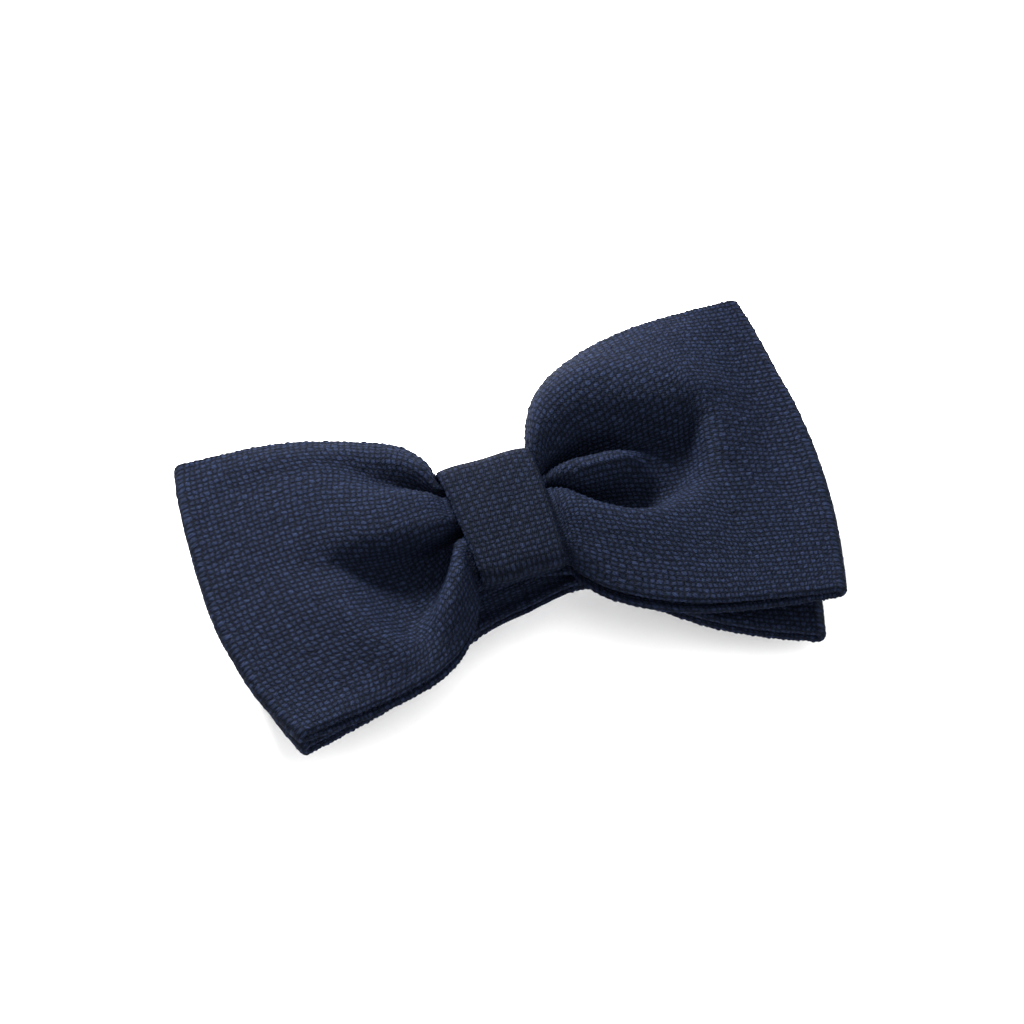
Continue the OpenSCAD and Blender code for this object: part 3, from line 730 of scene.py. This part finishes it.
def make_wing(name, grid, side, materials):
    """One wing of a loop in cloth, and the interlining inside it."""
    p, u, width = grid
    hidden = np.abs(p[:, :, 0]).max(1) < KNOT_X - 0.5
    half_t = PANEL_T / 2 * (0.6 + 0.4 * smooth(6, 12, np.minimum(u, u[-1] - u)))
    wing = thick_strip(name, p, u, width, half_t, side, materials["navy_fabric"], coarse=hidden)
    loop = name.rsplit("_", 1)[0]
    lining = thick_strip(name.replace("loop", "loop_interlining"), p, u, width,
                         np.full(len(u), CANVAS_T / 2), side, materials["interlining"],
                         relief=0.0, fine=(2.0, 2.0), trim=1.2)
    attach(wing, loop)
    attach(lining, loop + "_interlining")


def make_loops(materials):
    """Both loops, wing by wing, the front loop first."""
    steps = SETTLE_STEPS
    for name, folds, side in (("right", FRONT_RIGHT, 1), ("left", FRONT_LEFT, -1)):
        front = through_knot(folds)
        grid = wing_grid(front, front_rear_lines(front), *FRONT_WAIST, steps)
        make_wing("front_loop_" + name, grid, side, materials)
    for name, stations, side in (("right", BACK_RIGHT, 1), ("left", BACK_LEFT, -1)):
        grid = wing_grid(back_lines(stations, 1), back_lines(stations, 0), *BACK_WAIST, steps)
        make_wing("back_loop_" + name, grid, side, materials)


# The knot

# The knot's middle surface, as (y, z) round the waist from its overlapped start at the back.
KNOT_SECTION = [
    (-4.5, 15.6), (0, 15.3), (6, 15.1), (11, 15.4), (13, 17.4), (13.8, 20.2), (13.6, 22.1),
    (11.8, 23.5), (8, 24.2), (2.5, 24.4), (-3, 24.1), (-7.5, 23.6), (-10.4, 22.9), (-11.4, 22),
    (-11.3, 20.8), (-10.4, 19), (-9.9, 17), (-8.8, 15.5), (-6.5, 14.8), (-3.5, 14.7),
]


def make_knot(materials):
    """The strip round the waist, drawn in along its two edges, with a wavy lower front lip."""
    section = np.array([(0, y, z) for y, z in KNOT_SECTION], float)
    path = even(section, 46)
    u = np.concatenate([[0], np.cumsum(np.linalg.norm(np.diff(path, axis=0), axis=1))])
    columns = 13
    across = np.linspace(-1, 1, columns)
    half = np.interp(path[:, 1], [-13, 13], [8.2, 9.4])
    p = np.repeat(path[:, None], columns, 1)
    p[..., 0] = half[:, None] * across
    centre = np.array([0, 0.5, 19.3])
    inwards = unit(centre - path)
    droop = 0.5 * np.abs(across) ** 4
    lip = np.exp(-((path[:, 1] + 11.4) / 1.6) ** 2 - ((path[:, 2] - 22.4) / 2.2) ** 2)
    wave = 0.35 * lip[:, None] * np.sin(5.2 * across + 0.6)
    ripple = 0.12 * np.sin(4.6 * across + 0.35 * u[:, None])
    p += inwards[:, None] * (droop + ripple)[..., None]
    p[..., 1] += wave
    width = 2 * half

    # The knot wears the darker copy of the cloth, whose darkness is painted shade.
    knot = thick_strip("knot_wrap_cloth", p, u, width, np.full(len(u), KNOT_T / 2), -1,
                       materials["navy_fabric_painted_shade"])
    lining = thick_strip("knot_interlining_canvas", p, u, width, np.full(len(u), CANVAS_T / 2), -1,
                         materials["interlining"], relief=0.0, fine=(1.5, 1.5), trim=1.0)
    attach(knot, "knot_wrap")
    attach(lining, "knot_interlining")


# Threads that follow the settled cloth

def tube_mesh(name, paths, radius, material):
    """Round threads along paths, in one mesh."""
    sides = 8
    turn = np.linspace(0, 2 * math.pi, sides, endpoint=False)
    points, faces, start = [], [], 0
    for path in paths:
        along = unit(np.gradient(path, axis=0))
        beside = unit(np.cross(along, [0.31, 0.17, 0.93]))
        over = np.cross(beside, along)
        out = np.cos(turn)[:, None] * beside[:, None] + np.sin(turn)[:, None] * over[:, None]
        ring = path[:, None] + radius * out
        n = np.arange(len(path) * sides).reshape(len(path), sides) + start
        n = np.concatenate([n, n[:, :1]], 1)
        faces += np.stack([n[:-1, :-1], n[:-1, 1:], n[1:, 1:], n[1:, :-1]], -1).reshape(-1, 4).tolist()
        faces += [n[0, :-1][::-1].tolist(), n[-1, :-1].tolist()]
        points.append(ring.reshape(-1, 3))
        start += len(path) * sides
    mesh = bpy.data.meshes.new(name)
    mesh.from_pydata((np.concatenate(points) * MM).tolist(), [], faces)
    mesh.shade_smooth()
    mesh.materials.append(material)
    obj = bpy.data.objects.new(name, mesh)
    bpy.context.scene.collection.objects.link(obj)
    return obj


def gather_turns():
    """Four turns of thread round the front loop's gathered waist."""
    bend = np.linspace(0, 2 * math.pi, 49)
    y = 10.3 * np.sign(np.cos(bend)) * np.abs(np.cos(bend)) ** 0.7
    z = 19.2 + 3.45 * np.sign(np.sin(bend)) * np.abs(np.sin(bend)) ** 0.7
    return [np.stack([x + 0.25 * np.sin(bend), y - 0.1, z], 1) for x in (-1.4, -0.5, 0.5, 1.4)]


def seam_stitches():
    """Eight slanted stitches along the knot's closing seam."""
    t = np.linspace(-1, 1, 9)
    y, z = -9.2 + 0.55 * t, 14.55 - 0.35 * (1 - t * t) + 0.12 * t
    return [np.stack([x + 0.45 * t, y, z], 1) for x in np.linspace(-7, 7, 8)]


def draw_run():
    """The thread that draws the back loop in, running between its panels."""
    y = np.linspace(-13.4, 15.4, 59)
    return [np.stack([0.3 * np.sin(2.1 * y), y, 12.5 + 0.1 * np.sin(2.1 * y)], 1)]


def make_threads(materials):
    for name, paths, radius, node in (
            ("front_gather_thread_turns", gather_turns(), 0.2, "front_gather_thread"),
            ("knot_closing_stitches_seam", seam_stitches(), 0.16, "knot_closing_stitches"),
            ("back_gather_thread_run", draw_run(), 0.2, "back_gather_thread")):
        attach(tube_mesh(name, paths, radius, materials["navy_thread"]), node)


def make_felt(materials):
    """The felt strip that lies along the top of the plate's arch."""
    x, y = np.linspace(-FELT_L / 2, FELT_L / 2, 34), np.linspace(-FELT_W / 2, FELT_W / 2, 9)
    p = np.stack(np.meshgrid(x, y, indexing="ij"), -1)
    drop = ARCH_R - np.sqrt(ARCH_R ** 2 - p[..., :1] ** 2)
    p = np.concatenate([p, FELT_UNDERSIDE + FELT_T / 2 - drop], -1)
    felt = thick_strip("felt_backing_strip", p, x + FELT_L / 2, np.full(len(x), FELT_W),
                       np.full(len(x), FELT_T / 2), 1, materials["felt"], relief=0.0, fine=(1.0, 1.0))
    attach(felt, "felt_backing")


# Parts that stay as the CAD made them

FINISHES = {
    "navy_thread": ["center_tack_stitches", "hinge_end_lashing", "catch_end_lashing"],
    "plated_steel": ["barrette_plate", "hinge_pin", "catch_base", "catch_rivets", "clasp_arm"],
    "spring_steel": ["tension_bar", "catch_prong_upper", "catch_prong_lower"],
}


def finish_cad_parts(materials):
    """Gives the CAD's own metal parts and small threads their materials."""
    for finish, names in FINISHES.items():
        for name in names:
            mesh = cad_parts[name].data
            mesh.materials.clear()
            mesh.materials.append(materials[finish])


make_camera()
make_studio()
make_floor()
made = make_materials()
make_loops(made)
make_knot(made)
make_threads(made)
make_felt(made)
finish_cad_parts(made)
